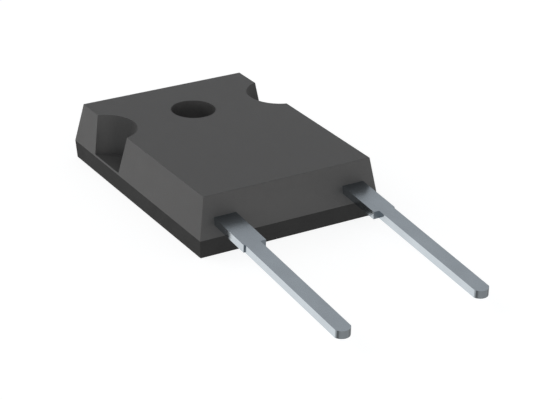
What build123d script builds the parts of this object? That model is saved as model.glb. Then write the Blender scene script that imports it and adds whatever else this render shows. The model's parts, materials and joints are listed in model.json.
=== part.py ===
from build123d import *
import math
import os

# Two-lead power rectifier in a screw-mounted flat moulded package.
# It lies on its heat-sink face at Z = 0 with the leads towards -Y.
# The origin is the mounting hole's axis at the heat-sink face.

# Moulding: its widest outline is the parting line, and both halves draw in from it
body_length = 20.6
body_width = 15.6
body_height = 4.7
parting_height = 1.45
upper_draft = 9.6
lower_draft = 4.7
edge_radius = 0.05

# Mounting hole
hole_diameter = 3.56
hole_from_rear = 5.6

# Half-round side notches for a clip or a fixture, level with the mounting hole
notch_floor_height = 1.6
notch_floor_radius = 2.0
notch_draft = 10.8
notch_centre_outside = 0.14

# Heat-sink tab, bare on the back of the package
tab_thickness = 1.27
pad_side_margin = 1.0
pad_rear_margin = 0.95
pad_front_margin = 3.15
pad_corner_radius = 0.8
pad_lip_height = 0.55
lock_flange = 0.3
ring_diameter = 7.2
groove_width = 0.4
groove_depth = 0.15
groove_from_ring = 0.6
groove_pitch = 0.7
groove_count = 2

# Leads: a wide root, a shoulder on each side, and a narrow shank with a rounded tip
lead_thickness = 0.6
lead_top = 3.0
lead_length = 16.25
lead_droop = 5.0
root_length = 4.0
root_width = 1.87
shank_width = 1.28
shank_pitch = 11.55
outer_step = 0.11
tip_crown = 0.4
bend_cover = 0.7
bend_radius = 2.0

# Anode post, the wide inner end of the anode lead
post_cover = 0.9
post_length = 1.9
post_inner_x = 1.1
post_outer_x = 6.9
anchor_diameter = 0.9
anchor_from_end = 1.0

# Down-set neck that joins the cathode lead to the tab
neck_width = 3.0
neck_run = 1.3
neck_inner_radius = 0.3
neck_seat = 0.7

# Silicon carbide die on its solder
die_size = 3.4
die_thickness = 0.36
solder_thickness = 0.08
solder_margin = 0.15
die_from_ring = 2.3

# Aluminium bond wires, wedge-bonded from the die's top to the anode post
wire_diameter = 0.38
wire_count = 3
wire_pitch_on_die = 0.85
wire_pitch_on_post = 1.15
wire_apex_height = 3.95
wire_rise_share = 0.5
wire_fall_share = 0.18
wire_bend_radius = 1.0
foot_length = 0.85
foot_width = 0.56
foot_height = 0.31
foot_from_die_edge = 0.85
foot_from_post_end = 0.85

# Places worked out from the sizes above
rear_y = hole_from_rear
front_y = rear_y - body_length
body_centre_y = (rear_y + front_y) / 2
upper_height = body_height - parting_height
notch_x = body_width / 2 + notch_centre_outside
pad_rear_y = rear_y - pad_rear_margin
pad_front_y = front_y + pad_front_margin
pad_centre_y = (pad_rear_y + pad_front_y) / 2
pad_width = body_width - 2 * pad_side_margin
pad_length = pad_rear_y - pad_front_y
flange_front_y = pad_front_y - lock_flange
ring_front_y = -ring_diameter / 2

droop_rise = math.tan(math.radians(lead_droop))
lead_reach = lead_length * math.cos(math.radians(lead_droop))
root_reach = root_length * math.cos(math.radians(lead_droop))
tip_y = front_y - lead_reach
shank_end_y = tip_y + tip_crown
shoulder_y = front_y - root_reach
shank_outer_x = (shank_pitch + shank_width) / 2
shank_inner_x = shank_outer_x - shank_width
root_outer_x = shank_outer_x + outer_step
root_inner_x = root_outer_x - root_width
bend_y = front_y + bend_cover
post_top = lead_top + bend_cover * droop_rise
post_front_y = front_y + post_cover
post_end_y = post_front_y + post_length

solder_bottom = tab_thickness
die_bottom = solder_bottom + solder_thickness
die_top = die_bottom + die_thickness
die_centre_y = ring_front_y - die_from_ring - die_size / 2
foot_on_die_y = die_centre_y - die_size / 2 + foot_from_die_edge
foot_on_post_y = post_end_y - foot_from_post_end
post_centre_x = (post_inner_x + root_inner_x) / 2

os.makedirs("parts", exist_ok=True)


def strip(top_line_points, bend_radii):
    # Side view of a bent strip in the YZ plane, from the line of its top face
    with BuildSketch(Plane.YZ) as side_view:
        with BuildLine():
            FilletPolyline(*top_line_points, radius=bend_radii)
            offset(amount=lead_thickness, side=Side.RIGHT)
        make_face()
    return side_view.sketch


def lead_outline(side):
    # Plan view of a lead outside the moulding and through its wall, on the +X or -X side
    with BuildSketch() as plan:
        with BuildLine():
            ThreePointArc(
                (side * shank_inner_x, shank_end_y),
                (side * (shank_inner_x + shank_outer_x) / 2, tip_y),
                (side * shank_outer_x, shank_end_y),
            )
            Polyline(
                (side * shank_outer_x, shank_end_y),
                (side * shank_outer_x, shoulder_y),
                (side * root_outer_x, shoulder_y),
                (side * root_outer_x, post_front_y),
                (side * root_inner_x, post_front_y),
                (side * root_inner_x, shoulder_y),
                (side * shank_inner_x, shoulder_y),
                (side * shank_inner_x, shank_end_y),
            )
        make_face()
    return plan.sketch


# The strip starts a little past the tip, and the plan outline trims it there
strip_start_y = tip_y - lead_thickness
strip_start = (strip_start_y, lead_top + (strip_start_y - front_y) * droop_rise)
strip_bend = (bend_y, post_top)

# Tab and cathode lead: one piece of copper, thick where the die sits and thin at the lead
neck_top_y = flange_front_y - neck_run
neck_seat_y = flange_front_y + neck_seat
neck_outer_radius = neck_inner_radius + lead_thickness
neck_points = [
    strip_start,
    strip_bend,
    (neck_top_y, post_top),
    (flange_front_y, tab_thickness),
    (neck_seat_y, tab_thickness),
]

with BuildPart() as cathode_strip:
    neck_view = strip(neck_points, [bend_radius, neck_outer_radius, neck_inner_radius])
    extrude(neck_view, amount=body_width, dir=(-1, 0, 0))
    with BuildSketch() as cathode_plan:
        add(lead_outline(-1))
        with Locations((-root_outer_x, post_front_y)):
            Rectangle(neck_width, neck_seat_y - post_front_y, align=(Align.MIN, Align.MIN))
    extrude(amount=body_height, mode=Mode.INTERSECT)

first_groove_y = ring_front_y - groove_from_ring

with BuildPart() as tab_and_cathode_lead:
    with BuildSketch() as pad_outline:
        with Locations((0, pad_centre_y)):
            RectangleRounded(pad_width, pad_length, pad_corner_radius)
        Circle(ring_diameter / 2, mode=Mode.SUBTRACT)
    extrude(amount=pad_lip_height)
    with BuildSketch(Plane.XY.offset(pad_lip_height)) as flange_outline:
        with Locations((0, pad_centre_y)):
            RectangleRounded(
                pad_width + 2 * lock_flange,
                pad_length + 2 * lock_flange,
                pad_corner_radius + lock_flange,
            )
        Circle(ring_diameter / 2 - lock_flange, mode=Mode.SUBTRACT)
    extrude(amount=tab_thickness - pad_lip_height)
    # Coined grooves across the tab keep moisture and solder on their own sides
    with BuildSketch(Plane.YZ) as groove_section:
        for groove in range(groove_count):
            groove_y = first_groove_y - groove * groove_pitch
            with BuildLine():
                Polyline(
                    (groove_y - groove_width / 2, tab_thickness),
                    (groove_y, tab_thickness - groove_depth),
                    (groove_y + groove_width / 2, tab_thickness),
                    close=True,
                )
            make_face()
    extrude(amount=pad_width, both=True, mode=Mode.SUBTRACT)
    add(cathode_strip.part)

tab_and_cathode_lead.part.label = "tab_and_cathode_lead"
export_step(tab_and_cathode_lead.part, "parts/tab_and_cathode_lead.step")

# Anode lead, held clear of the tab by the moulding
post_points = [strip_start, strip_bend, (post_end_y, post_top)]

with BuildPart() as anode_lead:
    post_view = strip(post_points, [bend_radius])
    extrude(post_view, amount=body_width, dir=(1, 0, 0))
    with BuildSketch() as anode_plan:
        add(lead_outline(1))
        with Locations((post_inner_x, post_front_y)):
            Rectangle(post_outer_x - post_inner_x, post_length, align=(Align.MIN, Align.MIN))
        with Locations((post_outer_x - anchor_from_end, post_end_y - post_length / 2)):
            Circle(anchor_diameter / 2, mode=Mode.SUBTRACT)
    extrude(amount=body_height, mode=Mode.INTERSECT)

anode_lead.part.label = "anode_lead"
export_step(anode_lead.part, "parts/anode_lead.step")

# Solder layer and die
with BuildPart() as die_attach_solder:
    with BuildSketch(Plane.XY.offset(solder_bottom)):
        with Locations((0, die_centre_y)):
            RectangleRounded(
                die_size + 2 * solder_margin, die_size + 2 * solder_margin, solder_margin
            )
    extrude(amount=solder_thickness)

die_attach_solder.part.label = "die_attach_solder"
export_step(die_attach_solder.part, "parts/die_attach_solder.step")

with BuildPart() as silicon_carbide_die:
    with BuildSketch(Plane.XY.offset(die_bottom)):
        with Locations((0, die_centre_y)):
            Rectangle(die_size, die_size)
    extrude(amount=die_thickness)

silicon_carbide_die.part.label = "silicon_carbide_die"
export_step(silicon_carbide_die.part, "parts/silicon_carbide_die.step")


def bond_wire(die_x, post_x):
    # One wire: a flattened foot on the die, a loop that rises out of it, and a flattened foot on the post
    run_x = post_x - die_x
    run_y = foot_on_post_y - foot_on_die_y
    run = math.hypot(run_x, run_y)
    heading = Vector(run_x / run, run_y / run, 0)
    sideways = Vector(heading.Y, -heading.X, 0)
    wire_plane = Plane(origin=(die_x, foot_on_die_y, 0), x_dir=heading, z_dir=sideways)
    start_height = die_top + foot_height / 2
    end_height = post_top + foot_height / 2
    with BuildPart() as wire:
        with BuildLine(wire_plane) as loop:
            FilletPolyline(
                (0, start_height),
                (run * wire_rise_share, wire_apex_height),
                (run * (1 - wire_fall_share), wire_apex_height),
                (run, end_height),
                radius=wire_bend_radius,
            )
        with BuildSketch(Plane(origin=loop.line @ 0, z_dir=loop.line % 0)):
            Circle(wire_diameter / 2)
        sweep(path=loop.line)
        die_foot = (die_x, foot_on_die_y, die_top)
        post_foot = (post_x, foot_on_post_y, post_top)
        for foot_centre in (die_foot, post_foot):
            with BuildSketch(Plane(origin=foot_centre, x_dir=heading, z_dir=(0, 0, 1))):
                SlotOverall(foot_length, foot_width)
            extrude(amount=foot_height)
    return wire.part


bond_wires = []
for index in range(wire_count):
    place = index - (wire_count - 1) / 2
    wire = bond_wire(place * wire_pitch_on_die, post_centre_x + place * wire_pitch_on_post)
    wire.label = f"bond_wire_{index + 1}"
    export_step(wire, f"parts/{wire.label}.step")
    bond_wires.append(wire)

# Moulded body: two drafted halves, the side notches, the mounting hole, and the room of all it holds
with BuildPart() as moulded_body:
    with BuildSketch(Plane.XY.offset(parting_height)) as parting_outline:
        with Locations((0, body_centre_y)):
            Rectangle(body_width, body_length)
    extrude(amount=upper_height, taper=upper_draft)
    extrude(parting_outline.sketch, amount=-parting_height, taper=lower_draft)
    # The base and the parting line keep crisp outlines, and every other edge of the two halves is eased
    crisp_heights = (0, parting_height)
    eased_edges = moulded_body.edges().filter_by(
        lambda edge: all(abs(edge.center().Z - height) > edge_radius for height in crisp_heights)
    )
    fillet(eased_edges, edge_radius)
    with BuildSketch(Plane.XY.offset(notch_floor_height)):
        with Locations((-notch_x, 0), (notch_x, 0)):
            Circle(notch_floor_radius)
    extrude(amount=body_height - notch_floor_height, taper=-notch_draft, mode=Mode.SUBTRACT)
    with Locations((0, 0, body_height)):
        Hole(hole_diameter / 2)
    add(tab_and_cathode_lead.part, mode=Mode.SUBTRACT)
    add(anode_lead.part, mode=Mode.SUBTRACT)
    add(die_attach_solder.part, mode=Mode.SUBTRACT)
    add(silicon_carbide_die.part, mode=Mode.SUBTRACT)
    for wire in bond_wires:
        add(wire, mode=Mode.SUBTRACT)

moulded_body.part.label = "moulded_body"
export_step(moulded_body.part, "parts/moulded_body.step")
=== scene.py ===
import json
import math

import bpy
from mathutils import Matrix, Vector


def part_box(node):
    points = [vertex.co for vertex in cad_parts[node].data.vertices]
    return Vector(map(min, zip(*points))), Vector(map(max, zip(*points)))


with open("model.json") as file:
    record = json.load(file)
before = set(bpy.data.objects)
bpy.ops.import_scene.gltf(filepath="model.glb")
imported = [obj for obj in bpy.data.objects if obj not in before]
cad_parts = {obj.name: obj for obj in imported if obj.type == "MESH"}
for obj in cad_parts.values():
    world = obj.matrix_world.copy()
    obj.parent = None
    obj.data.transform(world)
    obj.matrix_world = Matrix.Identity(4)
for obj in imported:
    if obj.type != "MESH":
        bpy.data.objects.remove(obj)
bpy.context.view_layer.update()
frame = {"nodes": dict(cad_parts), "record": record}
nodes = frame["nodes"]
print("frame loaded:", len(nodes), "nodes")

mm = 0.001   # a length written as a number times mm is in millimetres, any other is in metres
bodyLow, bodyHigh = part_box("moulded_body")   # its lowest and highest corners


# Small tools for building shader trees

def addNode(tree, kind, place, **settings):
    node = tree.nodes.new(kind)
    node.location = place
    for key, value in settings.items():
        setattr(node, key, value)
    return node


def feed(tree, socket, value):
    # The value is another node's output, or else a fixed one, with colours as (red, green, blue)
    if isinstance(value, bpy.types.NodeSocket):
        tree.links.new(value, socket)
    elif isinstance(value, tuple) and len(socket.default_value) == 4:
        socket.default_value = (*value, 1.0)
    else:
        socket.default_value = value


def emptyMaterial(name):
    material = bpy.data.materials.new(name)
    material.use_nodes = True
    material.node_tree.nodes.clear()
    return material, material.node_tree


def startFinish(name):
    # A material with its own Principled shader, and the inputs of that shader
    material, tree = emptyMaterial(name)
    shader = addNode(tree, "ShaderNodeBsdfPrincipled", (1200, 0))
    out = addNode(tree, "ShaderNodeOutputMaterial", (1500, 0))
    feed(tree, out.inputs["Surface"], shader.outputs[0])
    return material, tree, shader.inputs


def startGroup(name, inputs, outputs):
    # Inputs are (name, kind, default), and every output is a plain value
    group = bpy.data.node_groups.new(name, "ShaderNodeTree")
    for label, kind, default in inputs:
        socket = group.interface.new_socket(label, in_out="INPUT", socket_type="NodeSocket" + kind)
        if default is not None:
            socket.default_value = default
    for label in outputs:
        group.interface.new_socket(label, in_out="OUTPUT", socket_type="NodeSocketFloat")
    given = addNode(group, "NodeGroupInput", (-1200, 0)).outputs
    result = addNode(group, "NodeGroupOutput", (900, 0)).inputs
    return group, given, result


def addGroup(tree, place, group, values):
    node = addNode(tree, "ShaderNodeGroup", place, node_tree=group)
    for label, value in values.items():
        feed(tree, node.inputs[label], value)
    return node.outputs


def addMath(tree, place, operation, *values, clamp=False):
    node = addNode(tree, "ShaderNodeMath", place, operation=operation, use_clamp=clamp)
    for socket, value in zip(node.inputs, values):
        feed(tree, socket, value)
    return node.outputs[0]


def addVectorMath(tree, place, operation, *values):
    node = addNode(tree, "ShaderNodeVectorMath", place, operation=operation)
    for socket, value in zip(node.inputs, values):
        feed(tree, socket, value)
    return node.outputs["Value" if operation in ("DOT_PRODUCT", "LENGTH") else "Vector"]


def addSplit(tree, place, vector):
    node = addNode(tree, "ShaderNodeSeparateXYZ", place)
    feed(tree, node.inputs[0], vector)
    return node.outputs


def addNoise(tree, place, vector, scale, detail=2.0, roughness=0.5):
    node = addNode(tree, "ShaderNodeTexNoise", place)
    feed(tree, node.inputs["Vector"], vector)
    feed(tree, node.inputs["Scale"], scale)
    node.inputs["Detail"].default_value = detail
    node.inputs["Roughness"].default_value = roughness
    return node.outputs["Fac"]


def addRange(tree, place, value, low, high, toLow=0.0, toHigh=1.0, smooth=False):
    kind = "SMOOTHSTEP" if smooth else "LINEAR"
    node = addNode(tree, "ShaderNodeMapRange", place, interpolation_type=kind)
    labels = ("Value", "From Min", "From Max", "To Min", "To Max")
    for label, given in zip(labels, (value, low, high, toLow, toHigh)):
        feed(tree, node.inputs[label], given)
    return node.outputs["Result"]


def addSpread(tree, place, noise, toLow, toHigh):
    # Most of a noise lies between 0.3 and 0.7
    return addRange(tree, place, noise, 0.3, 0.7, toLow, toHigh)


def addMix(tree, place, factor, first, second):
    # Mixes two colours
    node = addNode(tree, "ShaderNodeMix", place, data_type="RGBA")
    feed(tree, node.inputs[0], factor)
    feed(tree, node.inputs[6], first)
    feed(tree, node.inputs[7], second)
    return node.outputs[2]


def addBlend(tree, place, factor, first, second):
    # Mixes two plain values
    node = addNode(tree, "ShaderNodeMix", place, data_type="FLOAT")
    feed(tree, node.inputs[0], factor)
    feed(tree, node.inputs[2], first)
    feed(tree, node.inputs[3], second)
    return node.outputs[0]


def addMottle(tree, place, colour, mottle, share):
    # Makes a colour lighter and darker by a share of itself
    x, y = place
    node = addNode(tree, "ShaderNodeVectorMath", place, operation="SCALE")
    feed(tree, node.inputs[0], colour)
    feed(tree, node.inputs["Scale"], addSpread(tree, (x - 200, y - 200), mottle, 1 - share, 1 + share))
    return node.outputs[0]


def addFacingRamp(tree, place, facing, stops, tint):
    # Stops are (facing from -1 to 1, tone), and the tint colours every tone
    x, y = place
    node = addNode(tree, "ShaderNodeValToRGB", place)
    elements = node.color_ramp.elements
    while len(elements) < len(stops):
        elements.new(1.0)
    for element, (at, tone) in zip(elements, stops):
        element.position = (at + 1) / 2
        element.color = (*(tone * share for share in tint), 1.0)
    feed(tree, node.inputs[0], addRange(tree, (x - 300, y), facing, -1.0, 1.0))
    return node.outputs["Color"]


def addBump(tree, place, height, distance):
    node = addNode(tree, "ShaderNodeBump", place)
    node.inputs["Distance"].default_value = distance
    feed(tree, node.inputs["Height"], height)
    return node.outputs[0]


def addSeen(tree, place):
    # 1 for what the camera sees, straight on, in a reflection or through glass
    x, y = place
    ray = addNode(tree, "ShaderNodeLightPath", place).outputs
    direct = addMath(tree, (x + 200, y), "MAXIMUM", ray["Is Camera Ray"], ray["Is Glossy Ray"])
    return addMath(tree, (x + 400, y), "MAXIMUM", direct, ray["Is Transmission Ray"])


# Effects that the finishes share

def makeEdgeWearAndHighlight():
    # Mask of the edges: there a normal that is rounded over the edge leaves the face's own
    inputs = [("Radius", "Float", 0.05 * mm), ("Start", "Float", 0.02), ("Full", "Float", 0.3)]
    group, given, result = startGroup("edgeWearAndHighlight", inputs, ["Mask"])
    rounded = addNode(group, "ShaderNodeBevel", (-900, 100), samples=6)
    feed(group, rounded.inputs["Radius"], given["Radius"])
    own = addNode(group, "ShaderNodeNewGeometry", (-900, -150)).outputs["Normal"]
    match = addVectorMath(group, (-600, 0), "DOT_PRODUCT", rounded.outputs[0], own)
    turned = addMath(group, (-400, 0), "SUBTRACT", 1.0, match)
    feed(group, result["Mask"], addRange(group, (-200, 0), turned, given["Start"], given["Full"]))
    return group


def makeContact():
    # Mask of the places that the piece's own faces or its neighbours shut in, where the finishes paint shade
    inputs = [("Reach", "Float", 2.0 * mm), ("Depth", "Float", 1.0)]
    group, given, result = startGroup("contact", inputs, ["Mask"])
    hollow = addNode(group, "ShaderNodeAmbientOcclusion", (-800, 0), samples=12)
    feed(group, hollow.inputs["Distance"], given["Reach"])
    shut = addMath(group, (-500, 0), "SUBTRACT", 1.0, hollow.outputs["AO"])
    feed(group, result["Mask"], addMath(group, (-200, 0), "MULTIPLY", shut, given["Depth"], clamp=True))
    return group


grainForm = {
    "coarseScale": 0.4,     # beside the fine grain's scale
    "coarseHeight": 0.7,    # beside the fine grain's height
    "fleckRim": 0.22,       # distances from a cell's centre, as shares of the cell
    "fleckHeart": 0.08,
}


def makeGrain():
    # Sparked-mould grain: a height for the bump, a soft mottle, and small flecks
    inputs = [("Vector", "Vector", None), ("Size", "Float", 0.08 * mm), ("Mottle Size", "Float", 1.5 * mm)]
    group, given, result = startGroup("grain", inputs, ["Height", "Mottle", "Fleck"])
    place = given["Vector"]
    fineScale = addMath(group, (-900, 200), "DIVIDE", 1.0, given["Size"])
    coarseScale = addMath(group, (-900, 0), "DIVIDE", grainForm["coarseScale"], given["Size"])
    mottleScale = addMath(group, (-900, -200), "DIVIDE", 1.0, given["Mottle Size"])
    fine = addNoise(group, (-600, 200), place, fineScale, detail=3.0, roughness=0.6)
    coarse = addNoise(group, (-600, 0), place, coarseScale)
    mottle = addNoise(group, (-600, -200), place, mottleScale, detail=4.0, roughness=0.55)
    cells = addNode(group, "ShaderNodeTexVoronoi", (-600, -450), feature="F1")
    feed(group, cells.inputs["Vector"], place)
    feed(group, cells.inputs["Scale"], coarseScale)
    rim, heart = grainForm["fleckRim"], grainForm["fleckHeart"]
    height = addMath(group, (-200, 100), "MULTIPLY_ADD", coarse, grainForm["coarseHeight"], fine)
    feed(group, result["Height"], height)
    feed(group, result["Mottle"], mottle)
    feed(group, result["Fleck"], addRange(group, (-200, -450), cells.outputs["Distance"], rim, heart))
    return group


def makeStreaks():
    # Long fine lines, as rolling, drawing and sawing leave them: Stretch is small along the lines
    inputs = [
        ("Vector", "Vector", None),
        ("Across", "Float", 0.05 * mm),
        ("Stretch", "Vector", (1.0, 0.02, 1.0)),
    ]
    group, given, result = startGroup("streaks", inputs, ["Lines"])
    along = addVectorMath(group, (-900, 0), "MULTIPLY", given["Vector"], given["Stretch"])
    fineScale = addMath(group, (-900, 250), "DIVIDE", 1.0, given["Across"])
    lines = addNoise(group, (-500, 150), along, fineScale, detail=3.0, roughness=0.65)
    feed(group, result["Lines"], lines)
    return group


edgeWearAndHighlight = makeEdgeWearAndHighlight()
contact = makeContact()
grain = makeGrain()
streaks = makeStreaks()
print("shared effects made")


# Hollows of the moulded body, its two side notches and its mounting hole, and the shade painted in them
# A facing is one part of a face's normal, from -1 to 1, and a pair of them is where a change starts and ends

hollows = {
    "notchOutside": 0.14 * mm,     # from the widest edge of the body out to the notch's axis
    "notchFloor": 1.6 * mm,
    "notchFloorRadius": 2.0 * mm,
    "notchDraft": 10.8,            # degrees
    "wallMargin": 0.02 * mm,
    "floorMargin": 0.01 * mm,
    "rimShade": 0.20,              # where the wall faces along the body
    "sideShade": 0.78,             # where it faces sideways
    "sideFacing": (0.3, 1.0),
    "rightShare": 0.80,            # of the side shade, in the right notch
    "rightFacing": (-0.05, 0.05),
    "frontEase": 0.54,             # taken off at the front end, where the wall faces rearwards
    "frontFacing": (-0.1, 0.35),
    "footShade": 0.30,             # added towards the floor
    "floorShade": 0.30,
    "floorFacing": 0.5,
    "rightRoughness": 0.80,
    "holeRadius": 1.85 * mm,
    "holeShade": 0.22,
}


def addNotchWall(tree, at):
    # 1 inside either notch, from its floor up
    slope = math.tan(math.radians(hollows["notchDraft"]))
    radiusAtZero = hollows["notchFloorRadius"] - hollows["notchFloor"] * slope + hollows["wallMargin"]
    axis = bodyHigh[0] + hollows["notchOutside"]
    side = addMath(tree, (-2100, -900), "ABSOLUTE", at["X"])
    inward = addMath(tree, (-1900, -900), "SUBTRACT", axis, side)
    square = addMath(tree, (-1700, -900), "MULTIPLY", inward, inward)
    squares = addMath(tree, (-1500, -900), "MULTIPLY_ADD", at["Y"], at["Y"], square)
    radius = addMath(tree, (-1300, -900), "SQRT", squares)
    drafted = addMath(tree, (-1300, -1050), "MULTIPLY_ADD", at["Z"], slope, radiusAtZero)
    inside = addMath(tree, (-1100, -900), "LESS_THAN", radius, drafted)
    floor = hollows["notchFloor"] - hollows["floorMargin"]
    high = addMath(tree, (-1100, -750), "GREATER_THAN", at["Z"], floor)
    return addMath(tree, (-900, -900), "MULTIPLY", inside, high)


def addNotchShade(tree, at, face):
    # Painted shade of the notches, by the way their faces point, with one level for their floors
    sideways = addMath(tree, (-2100, -1250), "ABSOLUTE", face["X"])
    shades = hollows["rimShade"], hollows["sideShade"]
    turned = addRange(tree, (-1900, -1250), sideways, *hollows["sideFacing"], *shades, smooth=True)
    right = addRange(tree, (-1900, -1500), face["X"], *hollows["rightFacing"], 1.0, hollows["rightShare"])
    ease = addRange(tree, (-1900, -1750), face["Y"], *hollows["frontFacing"], 0.0, hollows["frontEase"])
    top, floor = bodyHigh[2], hollows["notchFloor"]
    foot = addRange(tree, (-1900, -2000), at["Z"], top, floor, 0.0, hollows["footShade"])
    shared = addMath(tree, (-1700, -1350), "MULTIPLY", turned, right)
    eased = addMath(tree, (-1500, -1450), "SUBTRACT", shared, ease)
    walled = addMath(tree, (-1300, -1550), "ADD", eased, foot, clamp=True)
    level = addMath(tree, (-1300, -1350), "GREATER_THAN", face["Z"], hollows["floorFacing"])
    return addBlend(tree, (-1100, -1350), level, walled, hollows["floorShade"])


def addHoleShade(tree, place):
    # Painted shade inside the mounting hole
    flat = addVectorMath(tree, (-2300, -600), "MULTIPLY", place, (1.0, 1.0, 0.0))
    radius = addVectorMath(tree, (-2100, -600), "LENGTH", flat)
    bored = addMath(tree, (-1900, -600), "LESS_THAN", radius, hollows["holeRadius"])
    return addMath(tree, (-1700, -600), "MULTIPLY", bored, hollows["holeShade"])


# Moulding compound: matt epoxy with a blacker, duller lower half, painted shade in the hollows and a painted
# contact shadow round the leads

moulding = {
    "upperColour": (0.1105, 0.108, 0.1055),
    "lowerColour": (0.035, 0.0342, 0.0333),
    "partingHeight": 1.45 * mm,
    "fleckColour": (0.13, 0.13, 0.128),
    "fleckShare": 0.12,
    "mottleSize": 1.5 * mm,
    "mottleShare": 0.06,
    # the colour that the painted shade in the hollows and round the leads goes towards
    "paintedShadeColour": (0.021, 0.021, 0.021),
    "contactFrom": -10.0 * mm,     # from here forwards, on the upper half alone
    "contactReach": 1.9 * mm,
    "contactDepth": 0.9,
    # lighter edges: wear, and a painted edge highlight
    "edgeWearAndHighlightColour": (0.14, 0.14, 0.14),
    "edgeRadius": 0.05 * mm,
    "edgeShare": 0.6,
    "upperRoughness": 0.5,
    "lowerRoughness": 0.85,
    "roughnessSpread": 0.04,
    "grainSize": 0.07 * mm,
    "grainDepth": 0.011 * mm,
}


def makeMoulding():
    material, tree, shader = startFinish("mouldingCompound")
    coords = addNode(tree, "ShaderNodeTexCoord", (-2600, 0)).outputs
    place = coords["Object"]
    at = addSplit(tree, (-2300, -900), place)
    face = addSplit(tree, (-2300, -1250), coords["Normal"])
    sizes = {"Vector": place, "Size": moulding["grainSize"], "Mottle Size": moulding["mottleSize"]}
    surface = addGroup(tree, (-900, 0), grain, sizes)

    # The two halves, with flecks and a soft mottle
    lower = addMath(tree, (-600, 300), "LESS_THAN", at["Z"], moulding["partingHeight"])
    halves = addMix(tree, (-300, 300), lower, moulding["upperColour"], moulding["lowerColour"])
    flecks = addMath(tree, (-300, 100), "MULTIPLY", surface["Fleck"], moulding["fleckShare"])
    flecked = addMix(tree, (0, 300), flecks, halves, moulding["fleckColour"])
    toned = addMottle(tree, (250, 300), flecked, surface["Mottle"], moulding["mottleShare"])

    # Painted shade in the hollows, and a painted contact shadow on the front wall round the leads
    notch = addNotchWall(tree, at)
    notched = addMath(tree, (-700, -1000), "MULTIPLY", notch, addNotchShade(tree, at, face))
    hollow = addMath(tree, (-500, -800), "MAXIMUM", notched, addHoleShade(tree, place))
    reaches = {"Reach": moulding["contactReach"], "Depth": moulding["contactDepth"]}
    near = addGroup(tree, (-900, -420), contact, reaches)["Mask"]
    upper = addMath(tree, (-300, 500), "SUBTRACT", 1.0, lower)
    front = addMath(tree, (-300, 650), "LESS_THAN", at["Y"], moulding["contactFrom"])
    upperFront = addMath(tree, (-100, 550), "MULTIPLY", upper, front)
    touched = addMath(tree, (0, -300), "MULTIPLY", near, upperFront)
    shut = addMath(tree, (250, 0), "MAXIMUM", hollow, touched)
    shaded = addMix(tree, (500, 200), shut, toned, moulding["paintedShadeColour"])

    # Lighter along the edges: rubbed wear, and a painted edge highlight
    edges = addGroup(tree, (-900, -250), edgeWearAndHighlight, {"Radius": moulding["edgeRadius"]})["Mask"]
    wornAndHighlit = addMath(tree, (300, -500), "MULTIPLY", edges, moulding["edgeShare"])
    feed(tree, shader["Base Color"], addMix(tree, (800, 200), wornAndHighlit, shaded, moulding["edgeWearAndHighlightColour"]))

    # Uneven in roughness, and dull in the right notch
    spread = moulding["roughnessSpread"]
    uneven = addSpread(tree, (0, -150), surface["Mottle"], -spread, spread)
    level = addBlend(tree, (0, 50), lower, moulding["upperRoughness"], moulding["lowerRoughness"])
    rough = addMath(tree, (300, -100), "ADD", level, uneven)
    right = addMath(tree, (-500, -1200), "GREATER_THAN", face["X"], 0.0)
    rightNotch = addMath(tree, (-300, -1100), "MULTIPLY", notch, right)
    dull = addMath(tree, (400, -250), "MULTIPLY", rightNotch, hollows["rightRoughness"])
    feed(tree, shader["Roughness"], addMath(tree, (600, -150), "MAXIMUM", rough, dull))
    feed(tree, shader["Normal"], addBump(tree, (800, -300), surface["Height"], moulding["grainDepth"]))
    return material


# Tin plate on the copper: rolled faces, sheared sides, painted shade on the cut ends and at the roots by the
# front wall, and painted reflections on the tips

tinPlate = {
    "rolledColour": (0.695, 0.758, 0.813),
    "shearedColour": (0.635, 0.69, 0.728),
    # painted shade on the cut ends
    "cutShadeColour": (0.148, 0.168, 0.187),
    "tipReflectionTint": (0.94, 1.03, 1.09),
    "tipFrom": -25.0 * mm,         # cut ends from here forwards are the tips
    # colour of the painted shade at the roots
    "rootShadeColour": (0.348, 0.379, 0.407),
    "rootReach": 6.0 * mm,
    "rootDepth": 4.8,
    "rootSideShare": 0.2,
    "rootInnerSideShare": 0.75,
    "rootInnerFrom": 2.3 * mm,     # in front of the front wall
    "rootInnerTo": 1.7 * mm,
    "sideFacing": (0.5, 0.8),
    "topFacing": (0.5, 0.8),
    "endFacing": (0.30, 0.40),
    "mottleSize": 2.5 * mm,
    "mottleShare": 0.05,
    "rolledRoughness": 0.235,
    "shearedRoughness": 0.13,
    "cutRoughness": 0.4,
    "roughnessSpread": 0.02,
    "lineWidth": 0.04 * mm,
    "lineStretch": (1.0, 0.015, 1.0),
    "lineDepth": 0.003 * mm,
}

# Painted reflection on the rounded tip: its tone by the way its face points, from -X over -Y to +X
tipReflectionTones = ((-0.90, 0.40), (-0.85, 0.37), (-0.80, 0.10), (-0.70, 0.095), (-0.63, 0.182),
            (-0.45, 0.21), (0.10, 0.20), (0.24, 0.215), (0.33, 0.138), (0.60, 0.105))


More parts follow.
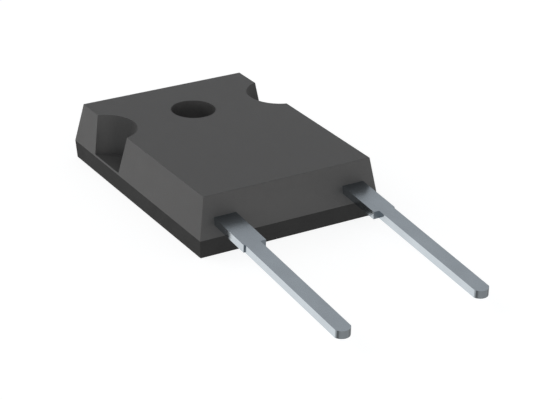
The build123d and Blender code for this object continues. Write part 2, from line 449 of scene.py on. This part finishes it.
def makeTinPlate():
    material, tree, shader = startFinish("tinPlate")
    coords = addNode(tree, "ShaderNodeTexCoord", (-1500, 0)).outputs
    place = coords["Object"]
    at = addSplit(tree, (-1200, 500), place)
    face = addSplit(tree, (-1200, 300), coords["Normal"])

    # Rolled faces and sheared sides, with a soft mottle
    sideways = addMath(tree, (-1000, 150), "ABSOLUTE", face["X"])
    sheared = addRange(tree, (-700, 150), sideways, *tinPlate["sideFacing"])
    sides = addMix(tree, (-500, 100), sheared, tinPlate["rolledColour"], tinPlate["shearedColour"])
    sizes = {"Vector": place, "Mottle Size": tinPlate["mottleSize"]}
    mottle = addGroup(tree, (-1200, -400), grain, sizes)["Mottle"]
    toned = addMottle(tree, (-300, 0), sides, mottle, tinPlate["mottleShare"])

    # Painted shade at the root: the top more than the sides, and the sides mostly close to the wall
    reaches = {"Reach": tinPlate["rootReach"], "Depth": tinPlate["rootDepth"]}
    root = addGroup(tree, (-500, -500), contact, reaches)["Mask"]
    outer, inner = bodyLow[1] - tinPlate["rootInnerFrom"], bodyLow[1] - tinPlate["rootInnerTo"]
    shares = tinPlate["rootSideShare"], tinPlate["rootInnerSideShare"]
    sideShare = addRange(tree, (-500, -700), at["Y"], outer, inner, *shares, smooth=True)
    share = addRange(tree, (-300, -500), face["Z"], *tinPlate["topFacing"], sideShare, 1.0)
    rootShade = addMath(tree, (-100, -450), "MULTIPLY", root, share)
    rooted = addMix(tree, (0, 100), rootShade, toned, tinPlate["rootShadeColour"])

    # Painted shade on the cut ends, and painted reflections on the rounded tips
    forward = addMath(tree, (-1000, 300), "MULTIPLY", face["Y"], -1.0)
    ended = addRange(tree, (-700, 300), forward, *tinPlate["endFacing"])
    tipped = addMath(tree, (-700, 500), "LESS_THAN", at["Y"], tinPlate["tipFrom"])
    tipReflection = addFacingRamp(tree, (-500, 750), face["X"], tipReflectionTones, tinPlate["tipReflectionTint"])
    paintedEnds = addMix(tree, (-100, 550), tipped, tinPlate["cutShadeColour"], tipReflection)
    feed(tree, shader["Base Color"], addMix(tree, (300, 300), ended, rooted, paintedEnds))
    shader["Metallic"].default_value = 1.0

    # Rolling lines along the leads
    rolling = {"Vector": place, "Across": tinPlate["lineWidth"], "Stretch": tinPlate["lineStretch"]}
    lines = addGroup(tree, (-1200, -100), streaks, rolling)["Lines"]
    spread = tinPlate["roughnessSpread"]
    uneven = addSpread(tree, (-300, -200), lines, -spread, spread)
    level = addBlend(tree, (-300, -350), sheared, tinPlate["rolledRoughness"], tinPlate["shearedRoughness"])
    lined = addMath(tree, (0, -200), "ADD", uneven, level)
    feed(tree, shader["Roughness"], addBlend(tree, (300, -200), ended, lined, tinPlate["cutRoughness"]))
    feed(tree, shader["Normal"], addBump(tree, (800, -400), lines, tinPlate["lineDepth"]))
    return material


# Solder: dull grey, mottled where it froze

solder = {
    "colour": (0.42, 0.42, 0.435),
    "paleColour": (0.56, 0.56, 0.57),
    "paleFrom": 0.35,
    "paleTo": 0.65,
    "patchSize": 0.35 * mm,
    "roughness": 0.42,
    "roughnessSpread": 0.08,
    "grainSize": 0.03 * mm,
    "grainDepth": 0.002 * mm,
}


def makeSolder():
    material, tree, shader = startFinish("dieSolder")
    place = addNode(tree, "ShaderNodeTexCoord", (-900, 0)).outputs["Object"]
    sizes = {"Vector": place, "Size": solder["grainSize"], "Mottle Size": solder["patchSize"]}
    surface = addGroup(tree, (-600, 0), grain, sizes)
    patches = addRange(tree, (-300, 100), surface["Mottle"], solder["paleFrom"], solder["paleTo"])
    feed(tree, shader["Base Color"], addMix(tree, (0, 100), patches, solder["colour"], solder["paleColour"]))
    shader["Metallic"].default_value = 1.0
    low = solder["roughness"] - solder["roughnessSpread"]
    high = solder["roughness"] + solder["roughnessSpread"]
    feed(tree, shader["Roughness"], addSpread(tree, (0, -100), surface["Mottle"], low, high))
    feed(tree, shader["Normal"], addBump(tree, (300, -300), surface["Height"], solder["grainDepth"]))
    return material


# Carbide die: an aluminium pad on top, an amber border round it, and dark sawn sides

carbideDie = {
    "padColour": (0.78, 0.79, 0.80),
    "borderColour": (0.16, 0.085, 0.03),
    "sideColour": (0.045, 0.055, 0.05),
    "borderWidth": 0.28 * mm,
    "topFacing": 0.5,
    "padRoughness": 0.35,
    "borderRoughness": 0.18,
    "sawLineWidth": 0.012 * mm,
    "sawLineStretch": (0.02, 0.02, 1.0),
    "sawLineDepth": 0.001 * mm,
}


def makeCarbideDie():
    material, tree, shader = startFinish("carbideDie")
    coords = addNode(tree, "ShaderNodeTexCoord", (-1500, 0)).outputs
    place = coords["Object"]
    low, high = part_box("silicon_carbide_die")
    centre = tuple((a + b) / 2 for a, b in zip(low, high))
    offset = addVectorMath(tree, (-1200, 200), "SUBTRACT", place, centre)
    away = addSplit(tree, (-800, 200), addVectorMath(tree, (-1000, 200), "ABSOLUTE", offset))
    furthest = addMath(tree, (-600, 200), "MAXIMUM", away["X"], away["Y"])
    padEdge = (high[0] - low[0]) / 2 - carbideDie["borderWidth"]
    bordered = addMath(tree, (-400, 200), "GREATER_THAN", furthest, padEdge)
    face = addSplit(tree, (-1200, -200), coords["Normal"])
    topped = addMath(tree, (-800, -200), "GREATER_THAN", face["Z"], carbideDie["topFacing"])
    top = addMix(tree, (-100, 200), bordered, carbideDie["padColour"], carbideDie["borderColour"])
    feed(tree, shader["Base Color"], addMix(tree, (300, 200), topped, carbideDie["sideColour"], top))
    padded = addMath(tree, (-100, -50), "SUBTRACT", topped, bordered, clamp=True)
    feed(tree, shader["Metallic"], padded)
    rough = addBlend(tree, (300, -100), padded, carbideDie["borderRoughness"], carbideDie["padRoughness"])
    feed(tree, shader["Roughness"], rough)
    sawing = {"Vector": place, "Across": carbideDie["sawLineWidth"], "Stretch": carbideDie["sawLineStretch"]}
    sawn = addGroup(tree, (-1200, -500), streaks, sawing)["Lines"]
    feed(tree, shader["Normal"], addBump(tree, (600, -400), sawn, carbideDie["sawLineDepth"]))
    return material


# Bond wires: soft drawn aluminium, dulled in patches

bondWire = {
    "colour": (0.82, 0.83, 0.84),
    "dullColour": (0.66, 0.67, 0.69),
    "dullFrom": 0.4,
    "dullTo": 0.65,
    "patchSize": 0.6 * mm,
    "roughness": 0.26,
    "dullRoughness": 0.38,
    "heading": -58.0,              # degrees from +X, from the die to the post
    "lineWidth": 0.02 * mm,
    "lineStretch": (0.05, 1.0, 1.0),
    "lineDepth": 0.0012 * mm,
}


def makeBondWire():
    material, tree, shader = startFinish("bondWire")
    place = addNode(tree, "ShaderNodeTexCoord", (-900, 0)).outputs["Object"]
    sizes = {"Vector": place, "Mottle Size": bondWire["patchSize"]}
    mottle = addGroup(tree, (-600, 200), grain, sizes)["Mottle"]
    rootShade = addRange(tree, (-300, 200), mottle, bondWire["dullFrom"], bondWire["dullTo"])
    colours = bondWire["colour"], bondWire["dullColour"]
    feed(tree, shader["Base Color"], addMix(tree, (0, 200), rootShade, *colours))
    shader["Metallic"].default_value = 1.0
    rough = addBlend(tree, (0, 0), rootShade, bondWire["roughness"], bondWire["dullRoughness"])
    feed(tree, shader["Roughness"], rough)
    turned = addNode(tree, "ShaderNodeMapping", (-800, -200))
    feed(tree, turned.inputs["Vector"], place)
    turned.inputs["Rotation"].default_value = (0.0, 0.0, math.radians(-bondWire["heading"]))
    drawing = {
        "Vector": turned.outputs[0],
        "Across": bondWire["lineWidth"],
        "Stretch": bondWire["lineStretch"],
    }
    drawn = addGroup(tree, (-600, -200), streaks, drawing)["Lines"]
    feed(tree, shader["Normal"], addBump(tree, (300, -200), drawn, bondWire["lineDepth"]))
    return material


def dress(nodeName, material):
    node = nodes[nodeName]
    node.data.materials.clear()
    node.data.materials.append(material)


# Each slot of the record has its own finish
finishes = {
    "moulding_compound": makeMoulding(),
    "tinned_copper": makeTinPlate(),
    "solder": makeSolder(),
    "carbide_die": makeCarbideDie(),
    "bond_wire": makeBondWire(),
}
for subpart in frame["record"]["subparts"]:
    dress(subpart["node"], finishes[subpart["material_slot"]])
print("finishes made:", len(finishes))


# Floor: white paper that shows white round the part and keeps its soft shadow

floorPaper = {
    "width": 4.0,
    "below": 0.01 * mm,      # just clear of the part
    "diffuse": (0.35, 0.35, 0.35),
    "glow": 0.85,
}


def makeFloor():
    bpy.ops.object.select_all(action="DESELECT")
    bpy.ops.mesh.primitive_plane_add(size=floorPaper["width"], location=(0, 0, -floorPaper["below"]))
    floor = bpy.context.active_object
    floor.name = "floor"
    material, tree = emptyMaterial("floorPaper")
    paper = addNode(tree, "ShaderNodeBsdfDiffuse", (300, 0))
    feed(tree, paper.inputs["Color"], floorPaper["diffuse"])
    glow = addNode(tree, "ShaderNodeEmission", (300, -200))
    seen = addSeen(tree, (-600, 300))
    feed(tree, glow.inputs["Strength"], addMath(tree, (100, 100), "MULTIPLY", seen, floorPaper["glow"]))
    both = addNode(tree, "ShaderNodeAddShader", (600, 0))
    feed(tree, both.inputs[0], paper.outputs[0])
    feed(tree, both.inputs[1], glow.outputs[0])
    out = addNode(tree, "ShaderNodeOutputMaterial", (900, 0))
    feed(tree, out.inputs["Surface"], both.outputs[0])
    floor.data.materials.append(material)


makeFloor()
print("floor laid")


# Studio: a pale horizon under a grey ceiling, and two soft lamps

studio = {
    "horizon": (1.0, 1.0, 1.0),
    "ceiling": (0.36, 0.37, 0.38),
    "fadeHeight": (0.05, 0.35),
    "shadedSide": (0.55, 0.56, 0.57),   # to the right, for the light it gives and not as seen
    "shadedFacing": (0.0, 0.8),
}

lamps = {
    "key": {"place": (-0.255, 0.235, 0.25), "width": 0.25, "watts": 0.20},
    "fill": {"place": (-0.12, -0.35, 0.14), "width": 0.30, "watts": 0.14},
}
lampTarget = (0.0, -12.0 * mm, 2.0 * mm)


def makeWorld():
    world = bpy.data.worlds.new("studio")
    bpy.context.scene.world = world
    world.use_nodes = True
    tree = world.node_tree
    tree.nodes.clear()
    view = addNode(tree, "ShaderNodeTexCoord", (-900, 0)).outputs["Generated"]
    direction = addSplit(tree, (-700, 0), view)
    unseen = addMath(tree, (-300, 400), "SUBTRACT", 1.0, addSeen(tree, (-900, 400)))
    rightward = addRange(tree, (-300, 200), direction["X"], *studio["shadedFacing"])
    shaded = addMath(tree, (-100, 300), "MULTIPLY", rightward, unseen)
    horizon = addMix(tree, (100, 250), shaded, studio["horizon"], studio["shadedSide"])
    height = addRange(tree, (-200, 0), direction["Z"], *studio["fadeHeight"])
    sky = addNode(tree, "ShaderNodeBackground", (600, 0))
    feed(tree, sky.inputs["Color"], addMix(tree, (300, 0), height, horizon, studio["ceiling"]))
    out = addNode(tree, "ShaderNodeOutputWorld", (900, 0))
    feed(tree, out.inputs["Surface"], sky.outputs[0])


def makeLamps():
    for name, lamp in lamps.items():
        light = bpy.data.lights.new(name, "AREA")
        light.energy = lamp["watts"]
        light.size = lamp["width"]
        holder = bpy.data.objects.new(name, light)
        bpy.context.scene.collection.objects.link(holder)
        holder.location = lamp["place"]
        aim = Vector(lampTarget) - holder.location
        holder.rotation_euler = aim.to_track_quat("-Z", "Y").to_euler()


makeWorld()
makeLamps()
bpy.context.scene.view_settings.view_transform = "Standard"
print("studio lit")


# Camera, from the front left corner and above

cameraView = {
    "azimuth": -32.369,      # these three in degrees
    "elevation": 25.778,
    "roll": 1.720,
    "distance": 141.0 * mm,
    "aim": (0.189 * mm, -13.039 * mm, 2.141 * mm),
    "lens": 120.435,
    "nearest": 1.0 * mm,
    "furthest": 10.0,
}


def makeCamera():
    azimuth = math.radians(cameraView["azimuth"])
    elevation = math.radians(cameraView["elevation"])
    roll = math.radians(cameraView["roll"])
    back = Vector((
        math.sin(azimuth) * math.cos(elevation),
        -math.cos(azimuth) * math.cos(elevation),
        math.sin(elevation),
    ))
    level = Vector((0, 0, 1)).cross(back).normalized()
    upright = back.cross(level)
    right = math.cos(roll) * level + math.sin(roll) * upright
    up = math.cos(roll) * upright - math.sin(roll) * level
    camera = bpy.data.objects.new("camera", bpy.data.cameras.new("camera"))
    bpy.context.scene.collection.objects.link(camera)
    camera.data.lens = cameraView["lens"]
    camera.data.clip_start = cameraView["nearest"]
    camera.data.clip_end = cameraView["furthest"]
    camera.location = Vector(cameraView["aim"]) + back * cameraView["distance"]
    camera.rotation_euler = Matrix((right, up, back)).transposed().to_euler()
    bpy.context.scene.camera = camera


makeCamera()
print("camera set")
